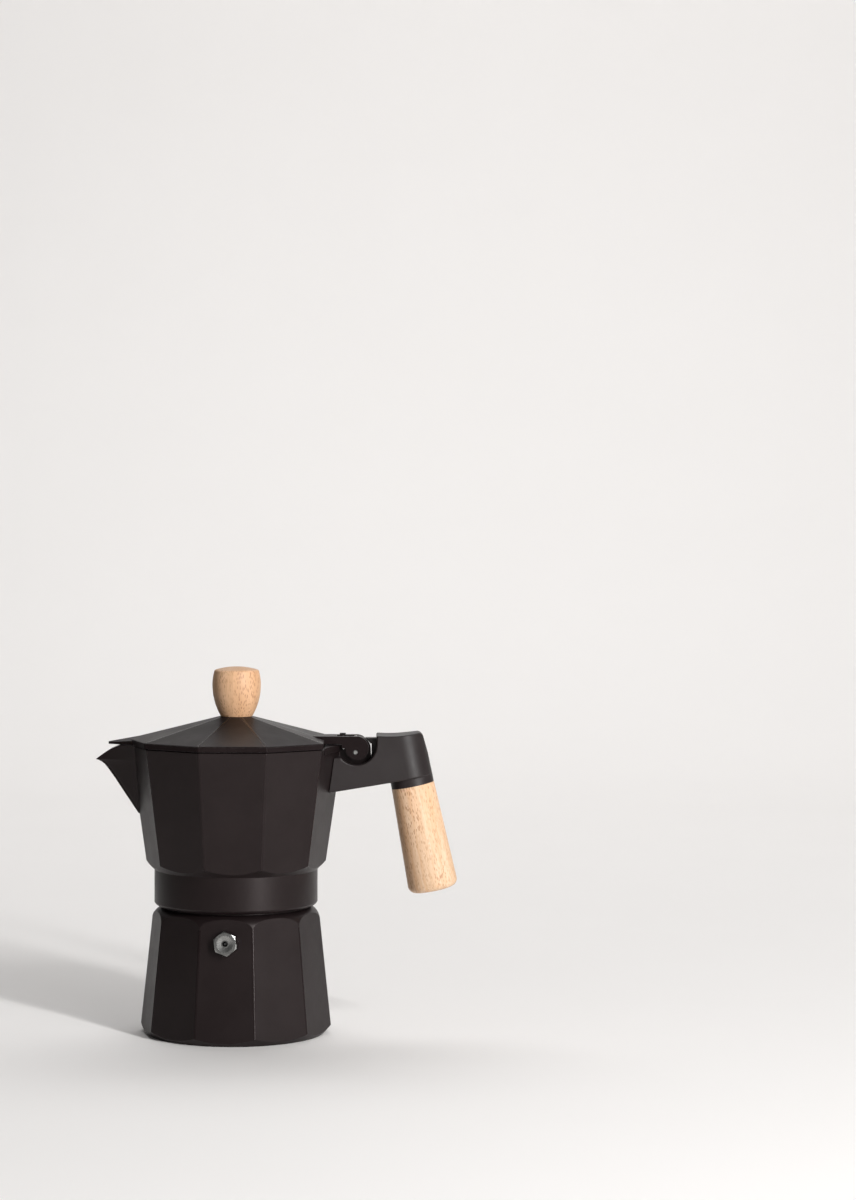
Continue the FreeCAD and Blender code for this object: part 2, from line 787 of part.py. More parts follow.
def make_collector():
    body = new_body("vessel")
    low_corner = polygon("collector_low_corner", rounding="cast_edge")
    rim_corner = polygon("collector_rim_corner", rounding="cast_edge")
    eased_corner = polygon("collector_rim_corner - rim_bevel", rounding="cast_edge")
    rim_low = "collector_rim - rim_bevel"
    tapered(body, "sides", (low_corner, "collar_top"), (rim_corner, rim_low))
    tapered(body, "rim", (rim_corner, rim_low), (eased_corner, "collector_rim"))
    slope = "(flare_corner - collar_radius) / (flare_height - collar_top)"
    turned(
        body,
        "flare",
        [("collar_radius", "collar_top"), (f"collar_radius + 9 * {slope}", "collar_top + 9"),
         (f"collar_radius + 9 * {slope}", "collar_top")],
        "Groove",
    )
    ceiling = "boiler_rim + sheet_metal + gasket_height"
    turned(
        body,
        "collar",
        [("column_seat", ceiling), ("gasket_seat_radius", ceiling),
         ("gasket_seat_radius", f"{ceiling} - gasket_height - sheet_metal"),
         ("female_root_radius", f"{ceiling} - gasket_height - sheet_metal - 0.6"),
         ("female_root_radius", "collar_foot + 0.3"), ("female_root_radius + 0.3", "collar_foot"),
         ("collar_foot_radius", "collar_foot"),
         ("collar_radius", "collar_foot_edge", "collar_foot_bow", -1),
         ("collar_radius", "collar_top + 0.2"), ("column_seat", "collar_top + 0.2")],
    )
    wall = "collector_wall"
    low = f"collector_low_corner - {wall} - 0.3"
    tapered(
        body,
        "chamber",
        (polygon(low), "collector_floor"),
        (polygon(f"collector_rim_corner - {wall} + 0.15"), "collector_rim + 1"),
        "SubtractiveLoft",
    )
    turned(
        body,
        "column_hole",
        [("0", "collar_foot + 8"), ("column_seat", "collar_foot + 8"),
         ("column_seat", "collector_floor + 1"), ("0", "collector_floor + 1")],
        "Groove",
    )
    thread(
        body, "thread", "female_root_radius", "female_crest_radius", "female_start", "female_length"
    )

    beak = doc.addObject("Part::Feature", "spout_outside")
    beak.Shape = spout_loft("0", "spout_foot", 2)
    channel = doc.addObject("Part::Feature", "spout_channel")
    channel.Shape = spout_loft("spout_wall", "spout_channel_foot", 7)
    mouth = plate_tool(
        "spout_mouth",
        [("mouth_tip_x - 1", "mouth_tip_z - 0.7"), ("mouth_tip_x", "mouth_tip_z"),
         ("mouth_rise_x", "mouth_rise_z", "mouth_bow", 1), ("mouth_rim_x", "collector_rim"),
         ("mouth_back_x", "collector_rim"), ("mouth_back_x", "collector_rim + 6"),
         ("mouth_tip_x - 1", "collector_rim + 6")],
        "5 * spout_root",
    )
    ledge = new_body("hinge_ledge")
    sketch = new_sketch(ledge, "corner", "XY_Plane", "ledge_top - ledge_thickness")
    inset = "(collector_rim_corner - ledge_x) / tan(side_step / 2)"
    draw_outline(
        sketch,
        [("ledge_x", f"-({inset})"), ("collector_rim_corner", "0"), ("ledge_x", inset)],
    )
    pad = ledge.newObject("PartDesign::Pad", "hinge_ledge_pad")
    pad.Profile = sketch
    pad.setExpression("Length", bound("ledge_thickness"))
    lug = plate_tool(
        "hinge_lug",
        [("tongue_root_x", "tongue_root_z"), ("tongue_end_x", "tongue_end_z"),
         ("lug_centre_x + lug_radius", "lug_centre_z"),
         ("lug_centre_x - lug_radius", "lug_centre_z", "lug_radius + 0.001", -1),
         ("tongue_root_x + 1.8", "lug_centre_z")],
        "2 * lug_half",
    )
    pin_hole = along_y(
        "lug_bore", "pin_x", "pin_z", "pin_radius + pin_clearance", "4 * lug_half"
    )
    screw_hole = cylinder("tongue_hole", "bracket_screw_radius", "0", "11", SCREW_FRAME)
    whole = joined("vessel_whole", body, beak, ledge, lug)
    keep("collector", cut("vessel_cut", whole, channel, mouth, pin_hole, screw_hole))


def plate_tool(name, corners, depth):
    """A plate from an outline in the XZ plane, as a body of its own."""
    body = new_body(name)
    plate(body, "outline", corners, depth)
    return body


def along_y(name, x, z, radius, length):
    """A cylinder along Y, centred on the XZ plane."""
    solid = doc.addObject("Part::Cylinder", name)
    solid.setExpression("Radius", bound(radius))
    solid.setExpression("Height", bound(length))
    start = Vector(value(x), value(f"({length}) / 2"), value(z))
    solid.Placement = Placement(start, Rotation(X_AXIS, 90))
    return solid


def make_column():
    body = new_body("riser_column_body")
    ceiling = "boiler_rim + sheet_metal + gasket_height"
    turned(
        body,
        "tube",
        [("column_bore + 1", ceiling), ("column_seat", ceiling), ("column_seat", "collector_floor"),
         ("column_foot_radius", "collector_floor"), ("column_foot_radius", "column_foot - 0.8"),
         ("column_foot_radius - 0.8", "column_foot"), ("column_low_radius", "column_foot + 2"),
         ("column_top_radius", "column_top"),
         ("0", "column_dome", dome("column_top_radius", "column_dome - column_top"), -1),
         ("0", "column_bore_top"), ("column_bore", "column_bore_top"),
         ("column_bore", f"{ceiling} + 4")],
    )
    cross_bore(body, "ports", "0", "column_port_z", "column_port", "4 * column_low_radius")
    keep("riser_column", body)


def make_lid():
    body = new_body("lid_body")
    without_hinge_corner = range(1, 10)

    def section(corner):
        return polygon(corner, sides=without_hinge_corner, rounding="lid_round")

    edge = section("lid_corner")
    eased_edge = section("lid_corner - rim_bevel")
    bevel_foot = "lid_edge - rim_bevel"
    tapered(body, "skirt", (edge, "lid_foot"), (edge, bevel_foot))
    tapered(body, "bevel", (edge, bevel_foot), (eased_edge, "lid_edge"))
    tapered(body, "roof", (eased_edge, "lid_edge"), (section("lid_top_corner"), "lid_top"))
    inner = "lid_corner - lid_skirt"
    inner_edge = "lid_edge - lid_thickness * 0.4"
    tapered(
        body,
        "hollow_low",
        (section(inner), "lid_foot - 1"),
        (section(inner), inner_edge),
        "SubtractiveLoft",
    )
    tapered(
        body,
        "hollow",
        (section(inner), f"{inner_edge} - 0.01"),
        (section("lid_top_corner"), "lid_top - lid_thickness"),
        "SubtractiveLoft",
    )
    turned(
        body,
        "screw_hole",
        [("0", "lid_top - 4"), ("screw_hole", "lid_top - 4"), ("screw_hole", "lid_top + 1"),
         ("0", "lid_top + 1")],
        "Groove",
    )
    bridge_top = "cheek_centre_z + cheek_radius"
    bridge = plate_tool(
        "lid_bridge",
        [("neck_bridge_start", "neck_bridge_low"), ("neck_bridge_x", "neck_bridge_low"),
         ("neck_bridge_x", bridge_top), ("neck_bridge_start", bridge_top)],
        "2 * cheek_outside",
    )
    cheeks = plate_tool(
        "lid_cheeks",
        [("neck_bridge_x - 0.5", "neck_bridge_low"), ("cheek_foot_x", "neck_bridge_low"),
         ("cheek_foot_x", "cheek_centre_z"), ("cheek_centre_x - cheek_radius", "cheek_centre_z"),
         ("cheek_centre_x", "cheek_centre_z - cheek_radius", "cheek_radius", -1),
         ("cheek_centre_x + cheek_radius", "cheek_centre_z", "cheek_radius", -1),
         ("cheek_centre_x", bridge_top, "cheek_radius", -1), ("neck_bridge_x - 0.5", bridge_top)],
        "2 * cheek_outside",
    )
    slot = box(
        "lid_slot",
        ("neck_bridge_x", "-cheek_inside", "cheek_centre_z - 9"),
        ("cheek_centre_x + 9", "cheek_inside", "cheek_centre_z + 9"),
    )
    bumper = box(
        "lid_bumper",
        ("bumper_x", "cheek_outside - bumper_width", f"{bridge_top} - 0.5"),
        ("bumper_x + bumper_length", "cheek_outside", f"{bridge_top} + bumper_height"),
    )
    beak = doc.addObject("Part::Feature", "lid_beak")
    start = beak_section("beak_start", "beak_start_half", "lid_edge", "beak_start_ridge")
    tip = beak_section("beak_tip", "beak_tip_half", "beak_tip_edge", "beak_tip_ridge")
    beak.Shape = Part.makeLoft([start, tip], True, True)
    pin_hole = along_y("cheek_bore", "pin_x", "pin_z", "pin_radius", "4 * cheek_outside")
    hinge = cut("lid_hinge", joined("lid_hinge_solid", bridge, cheeks, bumper), slot, pin_hole)
    keep("lid", joined("lid_whole", body, beak, hinge))


def beak_section(reach, half, edge, ridge):
    """The lid's beak across one station: flat below, two sides, and a low ridge."""
    x = -value(reach)
    y = value(half)
    foot = value("lid_foot")
    corners = [
        Vector(x, -y, foot), Vector(x, y, foot), Vector(x, y, value(edge)),
        Vector(x, 0, value(ridge)), Vector(x, -y, value(edge)), Vector(x, -y, foot),
    ]
    return Part.makePolygon(corners)


def make_knob():
    knob = new_body("lid_knob_body")
    turned(
        knob,
        "turning",
        [("0", "lid_top"), ("knob_foot_radius", "lid_top"),
         ("knob_belly_radius", "knob_belly", "knob_flare_bow", -1),
         ("knob_shoulder_radius", "knob_shoulder", "knob_shoulder_bow", -1),
         ("knob_edge_radius", "knob_edge", "knob_edge_bow", -1),
         ("0", "knob_top", dome("knob_edge_radius", "knob_top - knob_edge"), -1)],
    )
    insert_top = "knob_insert_low + knob_insert_length"
    turned(
        knob,
        "insert_hole",
        [("0", "lid_top - 1"), ("knob_insert_radius", "lid_top - 1"),
         ("knob_insert_radius", insert_top), ("0", insert_top)],
        "Groove",
    )
    keep("lid_knob", knob)

    insert = new_body("knob_insert_body")
    turned(
        insert,
        "sleeve",
        [("screw_radius", "knob_insert_low"), ("knob_insert_radius", "knob_insert_low"),
         ("knob_insert_radius", insert_top), ("screw_radius", insert_top)],
    )
    keep("knob_insert", insert)

    under = "lid_top - lid_thickness"
    washer = new_body("knob_washer_body")
    turned(
        washer,
        "ring",
        [("screw_hole", f"{under} - washer_sheet"), ("knob_washer_radius", f"{under} - washer_sheet"),
         ("knob_washer_radius", under), ("screw_hole", under)],
    )
    keep("knob_washer", washer)
    seat = f"{under} - washer_sheet"
    keep("knob_screw", screw("knob_screw_body", seat, f"{insert_top} - 0.6"))


def screw(name, seat, end, radius="screw_radius", head="screw_head_radius"):
    """A slotted pan-head screw about Z, its head hanging below the seat."""
    body = new_body(name)
    turned(
        body,
        "turning",
        [("0", f"{seat} - screw_head"), (f"{head} - 0.9", f"{seat} - screw_head"),
         (head, f"{seat} - screw_head + 0.9", "0.901", -1), (head, seat), (radius, seat),
         (radius, f"{end} - 0.5"), (f"{radius} - 0.5", end), ("0", end)],
    )
    sketch = new_sketch(body, "slot", "XY_Plane", f"{seat} - screw_head - 1")
    draw_outline(
        sketch,
        [(f"-{head} - 1", "-slot_width / 2"), (f"{head} + 1", "-slot_width / 2"),
         (f"{head} + 1", "slot_width / 2"), (f"-{head} - 1", "slot_width / 2")],
    )
    slot = body.newObject("PartDesign::Pocket", f"{name}_slot")
    slot.Profile = sketch
    slot.Reversed = True
    slot.setExpression("Length", bound("slot_depth + 1"))
    return body


def make_pin():
    body = new_body("hinge_pin_body")
    half = "pin_half"
    turned(
        body,
        "rod",
        [("0", f"-{half}"), ("pin_radius - 0.3", f"-{half}"), ("pin_radius", f"0.3 - {half}"),
         ("pin_radius", f"{half} - 0.3"), ("pin_radius - 0.3", half), ("0", half)],
    )
    body.Placement = Placement(Vector(value("pin_x"), 0, value("pin_z")), Rotation(X_AXIS, 90))
    keep("hinge_pin", body)


def make_bracket():
    side = plate_tool(
        "bracket_side",
        [("bracket_low_x - 3", "bracket_low_z - 0.5"), ("bracket_elbow_x", "bracket_elbow_z"),
         ("bracket_end_x", "bracket_end_z"), ("bracket_crown_x", "bracket_crown_z"),
         ("bracket_top_x", "bracket_top_z", "bracket_crown_bow", -1),
         ("recess_x + recess_radius", "recess_wall_top", "bracket_top_bow", 1),
         ("recess_x + recess_radius", "recess_z"),
         ("recess_x", "recess_z - recess_radius", "recess_radius", 1),
         ("recess_lip_x", "recess_lip_z", "recess_radius", 1),
         ("bracket_low_x - 3", "recess_lip_z")],
        "2 * bracket_half + 2",
    )
    end_centre = "bracket_end_reach - bracket_half"
    block = box(
        "bracket_block",
        ("-60", "-bracket_half", "-8"),
        (end_centre, "bracket_half", "40"),
        GRIP_FRAME,
    )
    round_frame = GRIP_FRAME.multiply(Placement(Vector(value(end_centre), 0, 0), Rotation()))
    rounding = cylinder("bracket_round_end", "bracket_half", "-8", "40", round_frame)
    arm = doc.addObject("Part::MultiCommon", "bracket_arm")
    arm.Shapes = [side, joined("bracket_plan", block, rounding)]
    underside = value("bracket_end_z - 1")
    end_top = value("bracket_end_z + 0.3")
    end_start = value("bracket_crown_x - 7")
    crown = value("recess_wall_top - 0.4")
    lip = value("recess_z - recess_radius - 0.1")
    recess_end = value("recess_x + recess_radius + 0.1")
    eased = rounded(
        "bracket_eased_foot",
        arm,
        "bracket_edge",
        lambda box: (on_side(box) and box.ZMax < underside)
        or (box.ZMax < end_top and box.XMin > end_start),
    )
    eased = rounded(
        "bracket_eased_recess",
        eased,
        "bracket_edge",
        lambda box: on_side(box) and box.ZMin > lip and box.ZMax < crown + 0.5
        and box.XMax < recess_end,
    )
    eased = rounded(
        "bracket_eased_crown",
        eased,
        "bracket_edge",
        lambda box: box.ZMin > crown and box.XLength > 5,
    )
    socket = cylinder("bracket_socket", "socket_radius", "0", "socket_height", GRIP_FRAME)
    envelope = new_body("vessel_envelope")
    tapered(
        envelope,
        "sides",
        (polygon("collector_low_corner + bracket_gap"), "collar_top"),
        (polygon("collector_rim_corner + bracket_gap"), "collector_rim"),
    )
    pocket = plate_tool(
        "bracket_pocket",
        [("tongue_root_x - 6", "tongue_root_z - tongue_gap - 1"),
         ("tongue_end_x + tongue_gap", "tongue_end_z - tongue_gap"),
         ("tongue_end_x + tongue_gap", "recess_z"), ("tongue_root_x - 6", "recess_z")],
        "2 * lug_half + 2 * tongue_gap",
    )
    spigot = cylinder(
        "spigot_hole",
        "grip_spigot + socket_gap",
        "-1",
        "grip_spigot_height + socket_gap",
        GRIP_FRAME,
    )
    insert_hole = cylinder(
        "bracket_insert_hole",
        "grip_insert_radius",
        "0",
        "grip_spigot_height + 1 + grip_insert_length",
        GRIP_FRAME,
    )
    head_hole = cylinder(
        "bracket_head_hole", "bracket_screw_head + 0.3", "-4", "bracket_screw_sink", SCREW_FRAME
    )
    shank_hole = cylinder("bracket_shank_hole", "bracket_screw_radius", "0", "6", SCREW_FRAME)
    web = box(
        "bracket_web",
        ("recess_x", "-bracket_web_half", "recess_z - recess_radius - 3"),
        ("recess_x + recess_radius + 1", "bracket_web_half", "bracket_web_top"),
    )
    whole = joined("bracket_whole", eased, socket, web)
    sweep = along_y(
        "hinge_sweep", "pin_x", "pin_z", "hinge_sweep_radius", "2 * cheek_outside + 0.7"
    )
    drilled = cut(
        "bracket_cut", whole, envelope, pocket, sweep, spigot, insert_hole, head_hole, shank_hole
    )
    stop = box(
        "bracket_stop",
        ("tongue_end_x + 0.05", "-bracket_web_half", "recess_lip_z - 2"),
        ("recess_x + recess_radius + 1", "bracket_web_half", "bracket_web_top"),
    )
    keep("handle_bracket", joined("bracket_webbed", drilled, stop))


def make_grip():
    body = new_body("handle_grip_body")
    end = "grip_length"
    turned(
        body,
        "turning",
        [("screw_hole", "grip_spigot_height"), ("screw_hole", f"grip_sink - {end}"),
         ("grip_sink_radius", f"grip_sink - {end}"), ("grip_sink_radius", f"0.1 - {end}"),
         ("grip_end_flat", f"grip_dome - {end}"),
         ("grip_end_radius", f"grip_dome + 3.4 - {end}", "grip_edge_bow", -1),
         ("grip_top_radius", "0"), ("grip_spigot", "0"), ("grip_spigot", "grip_spigot_height")],
    )
    body.Placement = GRIP_FRAME
    keep("handle_grip", body)

    sink = f"grip_sink - {end}"
    washer = new_body("grip_washer_body")
    turned(
        washer,
        "ring",
        [("screw_hole", f"{sink} - sheet_metal"), ("grip_sink_radius - 0.4", f"{sink} - sheet_metal"),
         ("grip_sink_radius - 0.4", sink), ("screw_hole", sink)],
    )
    washer.Placement = GRIP_FRAME
    keep("grip_washer", washer)

    rod = screw("grip_screw_body", f"{sink} - sheet_metal", "grip_spigot_height + grip_insert_length")
    rod.Placement = GRIP_FRAME
    keep("grip_screw", rod)

    insert = new_body("grip_insert_body")
    low = "grip_spigot_height + 1"
    turned(
        insert,
        "sleeve",
        [("screw_radius", low), ("grip_insert_radius", low),
         ("grip_insert_radius", f"{low} + grip_insert_length"),
         ("screw_radius", f"{low} + grip_insert_length")],
    )
    insert.Placement = GRIP_FRAME
    keep("grip_insert", insert)

    fixing = screw(
        "bracket_screw_body",
        "bracket_screw_sink",
        "bracket_screw_length",
        "bracket_screw_radius",
        "bracket_screw_head",
    )
    fixing.Placement = SCREW_FRAME
    keep("bracket_screw", fixing)


def check(thing, shape_wanted):
    """Stops the build if an object has failed or holds no good shape."""
    failed = {"Invalid", "Error"} & set(thing.State)
    broken = shape_wanted and (thing.Shape.isNull() or not thing.Shape.isValid())
    if failed or broken:
        raise RuntimeError(f"{thing.Name} ({thing.Label}) did not build: {thing.State}")


make_boiler()
make_valve()
make_funnel()
make_filter()
make_collector()
make_column()
make_lid()
make_knob()
make_pin()
make_bracket()
make_grip()
doc.recompute()

for thing in doc.Objects:
    check(thing, False)
for part in parts.values():
    check(part, True)

os.makedirs("parts", exist_ok=True)
for label, part in sorted(parts.items()):
    solid_count = len(part.Shape.Solids)
    print(f"{label}: {solid_count} solid, {part.Shape.Volume:.1f} mm3")
    part.Shape.exportStep(os.path.join("parts", f"{label}.step"))
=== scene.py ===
import math

import bpy
from mathutils import Matrix, Vector


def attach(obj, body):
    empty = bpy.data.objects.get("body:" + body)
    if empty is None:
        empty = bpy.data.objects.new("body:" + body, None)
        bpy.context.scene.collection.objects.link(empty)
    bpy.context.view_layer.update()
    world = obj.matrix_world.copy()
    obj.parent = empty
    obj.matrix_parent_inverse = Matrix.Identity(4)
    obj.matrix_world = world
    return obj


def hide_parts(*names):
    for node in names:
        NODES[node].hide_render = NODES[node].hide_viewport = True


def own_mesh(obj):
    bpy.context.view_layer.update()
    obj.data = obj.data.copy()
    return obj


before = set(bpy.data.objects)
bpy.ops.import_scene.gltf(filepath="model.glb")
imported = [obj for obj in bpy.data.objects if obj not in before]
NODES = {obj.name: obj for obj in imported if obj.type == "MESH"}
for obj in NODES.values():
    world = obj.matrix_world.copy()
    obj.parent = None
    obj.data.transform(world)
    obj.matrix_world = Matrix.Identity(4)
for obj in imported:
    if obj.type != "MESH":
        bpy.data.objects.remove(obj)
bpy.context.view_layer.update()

MM = 0.001

# The grip's axis leans outward going down. It starts at the joint with the bracket.
GRIP_START = Vector((77.3, 0, 108.6)) * MM
GRIP_LEAN = math.radians(-11.6)
# The safety valve stands square to one face of the boiler.
VALVE_CENTRE = Vector((-2.87, -35.6, 43.8)) * MM
VALVE_AXES = (Matrix.Rotation(math.radians(-94.6), 4, "Z")
              @ Matrix.Rotation(math.radians(90 - 5.8), 4, "Y"))

# A start point and a turn, which put a piece's rings or grain on its own axis.
UPRIGHT = ((0, 0, 0), (0, 0, 0))
VALVE_FRAME = (tuple(VALVE_CENTRE), tuple(VALVE_AXES.to_euler("XYZ")))
GRIP_FRAME = (tuple(GRIP_START), (0, GRIP_LEAN, 0))
KNOB_FRAME = ((0, 0, 0.14), (0, 0, 0))
SCREW_FRAME = (tuple(Vector((51, 0, 107.6)) * MM), (0, math.radians(-9.4), 0))
PIN_FRAME = (tuple(Vector((52.1, 0, 123.4)) * MM), (math.radians(90), 0, 0))

# Where the coat ends. At the first height, or radius for the bore, bare metal starts to show,
# and at the second it is all that shows.
COLLECTOR_FLOOR = (73.4 * MM, 72.9 * MM)
COLLECTOR_BORE = (36.4 * MM, 36.0 * MM)
BOILER_FLOOR = (8 * MM, 7 * MM)
BOILER_NECK = (55.9 * MM, 56.1 * MM)
LID_UNDERSIDE = (127.2 * MM, 127.4 * MM)

# The ridges between the sides: one ridge's direction, and the heights that they span.
SIDES = 10
RIDGE_WIDTH = 0.9 * MM
BOILER_RIDGES = (math.radians(-4.6), 2 * MM, 50 * MM)
COLLECTOR_RIDGES = (0, 74 * MM, 128 * MM)
LID_RIDGES = (0, 125 * MM, 141 * MM)

# Edges look rounded by this radius. They and the ridges are worn to this roughness. An edge is
# where the rounded normal leaves the true one, between these cosines of the angle.
EDGE_RADIUS = 0.3 * MM
POLISHED = 0.25
EDGE_COSINES = (0.999, 0.955)

# Each seed of the wood moves its grain this many millimetres, so that no two pieces match.
SEED_SHIFT = Vector((0.31, 0.17, 0.23))

# Colours. A pair is the two ends of a slow variation.
COAT = ((0.0092, 0.0058, 0.0060), (0.0118, 0.0079, 0.0081))
COAT_SPECK = (0.030, 0.027, 0.026)
# The paler coat at edges is partly wear and partly a painted highlight for rounded edges catching
# the light.
COAT_WEAR_AND_HIGHLIGHT = (0.085, 0.080, 0.078)
CAST = ((0.56, 0.56, 0.55), (0.70, 0.70, 0.69))
CAST_STAIN = (0.40, 0.39, 0.37)
PLASTIC = ((0.0140, 0.0096, 0.0097), (0.0168, 0.0120, 0.0120))
PLASTIC_EDGE = (0.040, 0.037, 0.036)
KNOB_BEECH = ((0.80, 0.525, 0.33), (0.58, 0.34, 0.185))
GRIP_BEECH = ((0.78, 0.59, 0.42), (0.66, 0.455, 0.29))
BEECH_STREAK = (0.66, 0.39, 0.21)
BEECH_FIBRE = (0.56, 0.32, 0.17)
BEECH_WARM = (0.80, 0.47, 0.27)
BEECH_FLECK = (0.42, 0.20, 0.10)
BEECH_END = (0.52, 0.29, 0.15)
SILVER = (0.80, 0.79, 0.76)
STEEL = (0.62, 0.62, 0.60)
NICKEL = (0.34, 0.34, 0.33)
DARK_STEEL = (0.09, 0.09, 0.09)
BRASS = (0.78, 0.56, 0.25)
SPUN = (0.74, 0.74, 0.73)
COLUMN = (0.66, 0.66, 0.65)
SILICONE = ((0.80, 0.79, 0.75), (0.70, 0.68, 0.62))
FIBRE = ((0.045, 0.035, 0.03), (0.025, 0.02, 0.018))
PAPER = ((0.885, 0.865, 0.850), (0.900, 0.880, 0.865))

# Name: power in watts, width and height, place, and the point that it faces, in metres.
LIGHTS = {
    "light_key": (5.3, (0.80, 1.2), (0.86, -1.18, 0.60), (0, 0, 0.10)),
    "light_strip": (19, (0.08, 1.1), (0.78, -1.10, 0.57), (0, 0, 0.10)),
    "light_top": (12.5, (2.4, 0.7), (0.0, 1.05, 1.5), (0, 0, 0.1)),
    "light_wall": (9.5, (2.2, 0.6), (0.2, 0.75, 1.75), (0.2, 1.7, 0.55)),
}

# The studio around the pot is brightest in one direction and dimmest opposite to it.
SKY_COLOR = (1.0, 0.985, 0.97, 1)
SKY_BRIGHTEST = Vector((0.85, -0.10, -0.50)).normalized()
SKY_STRENGTH = (0.065, 0.34)

# The camera that was fitted to the pot's outline, with the lens and the sensor in millimetres.
LENS = 88.785
SENSOR = 36
CAMERA_PLACE = (0.05135, -1.29530, 0.23163)
CAMERA_RIGHT = Vector((0.99968, -0.02476, 0.00454))
CAMERA_UP = Vector((-0.00373, 0.03237, 0.99947))
FAR_CLIP = 20


def socket_name(word):
    return word.replace("_", " ").title().replace("Ior", "IOR")


class Look:
    """One procedural material: a Principled shader and the nodes that drive it."""

    def __init__(self, name, metallic=0.0, roughness=0.5, **sockets):
        self.material = bpy.data.materials.new(name)
        self.material.use_nodes = True
        self.tree = self.material.node_tree
        self.tree.nodes.clear()
        output = self.add("ShaderNodeOutputMaterial")
        self.shader = self.add("ShaderNodeBsdfPrincipled")
        self.tree.links.new(self.shader.outputs["BSDF"], output.inputs["Surface"])
        self.drive(metallic=metallic, roughness=roughness, **sockets)
        self.coordinates = self.add("ShaderNodeTexCoord")

    def add(self, kind, **settings):
        node = self.tree.nodes.new(kind)
        for key, setting in settings.items():
            setattr(node, key, setting)
        return node

    def feed(self, socket, source):
        """Links a node's output to a socket, or sets the socket to a number or a colour."""
        if isinstance(source, (int, float)):
            socket.default_value = source
        elif isinstance(source, tuple):
            socket.default_value = (*source, 1) if len(socket.default_value) == 4 else source
        else:
            self.tree.links.new(source, socket)

    def drive(self, **sources):
        for socket, source in sources.items():
            self.feed(self.shader.inputs[socket_name(socket)], source)

    def place(self, start=(0, 0, 0), turn=(0, 0, 0), stretch=(1, 1, 1)):
        """Coordinates in metres in a frame that starts at a point and is turned, then stretched."""
        local = self.add("ShaderNodeMapping", vector_type="TEXTURE")
        self.feed(local.inputs["Vector"], self.coordinates.outputs["Object"])
        local.inputs["Location"].default_value = start
        local.inputs["Rotation"].default_value = turn
        scaled = self.add("ShaderNodeMapping")
        self.feed(scaled.inputs["Vector"], local.outputs["Vector"])
        scaled.inputs["Scale"].default_value = stretch
        return scaled.outputs["Vector"]

    def noise(self, vector, scale, detail=2.0, roughness=0.5, distortion=0.0):
        """Noise with about scale features in a metre."""
        node = self.add("ShaderNodeTexNoise")
        self.feed(node.inputs["Vector"], vector)
        node.inputs["Scale"].default_value = scale
        node.inputs["Detail"].default_value = detail
        node.inputs["Roughness"].default_value = roughness
        node.inputs["Distortion"].default_value = distortion
        return node.outputs["Fac"]

    def cells(self, vector, scale):
        """The distance to the nearest of many scattered points."""
        node = self.add("ShaderNodeTexVoronoi")
        self.feed(node.inputs["Vector"], vector)
        node.inputs["Scale"].default_value = scale
        return node.outputs["Distance"]

    def math(self, operation, first, second=0.0, clamp=False):
        node = self.add("ShaderNodeMath", operation=operation, use_clamp=clamp)
        self.feed(node.inputs[0], first)
        self.feed(node.inputs[1], second)
        return node.outputs["Value"]

    def times(self, first, second, clamp=False):
        return self.math("MULTIPLY", first, second, clamp)

    def spread(self, source, low, high, to_low=0.0, to_high=1.0):
        """Maps low..high of a value to another range, and holds it at the ends."""
        node = self.add("ShaderNodeMapRange", interpolation_type="SMOOTHSTEP")
        for socket, setting in zip(("Value", "From Min", "From Max", "To Min", "To Max"),
                                   (source, low, high, to_low, to_high)):
            self.feed(node.inputs[socket], setting)
        return node.outputs["Result"]

    def blend(self, amount, first, second, kind="RGBA"):
        """Goes from the first colour, or with the kind FLOAT the first value, to the second."""
        node = self.add("ShaderNodeMix", data_type=kind)
        first_input, output = {"FLOAT": (2, 0), "RGBA": (6, 2)}[kind]
        self.feed(node.inputs["Factor"], amount)
        self.feed(node.inputs[first_input], first)
        self.feed(node.inputs[first_input + 1], second)
        return node.outputs[output]

    def split(self, vector):
        node = self.add("ShaderNodeSeparateXYZ")
        self.feed(node.inputs["Vector"], vector)
        return node.outputs["X"], node.outputs["Y"], node.outputs["Z"]

    def normal(self):
        """The three parts of the surface's normal."""
        return self.split(self.coordinates.outputs["Normal"])

    def radius(self, vector):
        """The distance from the vertical axis of the vector's frame."""
        x, y, _ = self.split(vector)
        return self.math("SQRT", self.math("ADD", self.times(x, x), self.times(y, y)))

    def soft_edges(self):
        """The normal rounded at edges, and how near an edge the surface is, from 0 to 1."""
        bevel = self.add("ShaderNodeBevel", samples=6)
        bevel.inputs["Radius"].default_value = EDGE_RADIUS
        true = self.add("ShaderNodeNewGeometry")
        dot = self.add("ShaderNodeVectorMath", operation="DOT_PRODUCT")
        self.feed(dot.inputs[0], bevel.outputs["Normal"])
        self.feed(dot.inputs[1], true.outputs["True Normal"])
        return bevel.outputs["Normal"], self.spread(dot.outputs["Value"], *EDGE_COSINES)

    def ridges(self, where, first, low, high):
        """1 on the ridges between the sides from low to high, and 0 away from them."""
        x, y, z = self.split(where)
        turned = self.math("SUBTRACT", self.math("ARCTAN2", y, x), first)
        away = self.times(self.math("PINGPONG", turned, math.pi / SIDES), self.radius(where))
        band = self.times(self.spread(z, low, low + MM), self.spread(z, high, high - MM))
        return self.times(self.spread(away, RIDGE_WIDTH, RIDGE_WIDTH * 0.4), band)

    def bump(self, height, depth, strength, normal=None):
        node = self.add("ShaderNodeBump")
        self.feed(node.inputs["Height"], height)
        node.inputs["Distance"].default_value = depth
        node.inputs["Strength"].default_value = strength
        if normal is not None:
            self.feed(node.inputs["Normal"], normal)
        return node.outputs["Normal"]


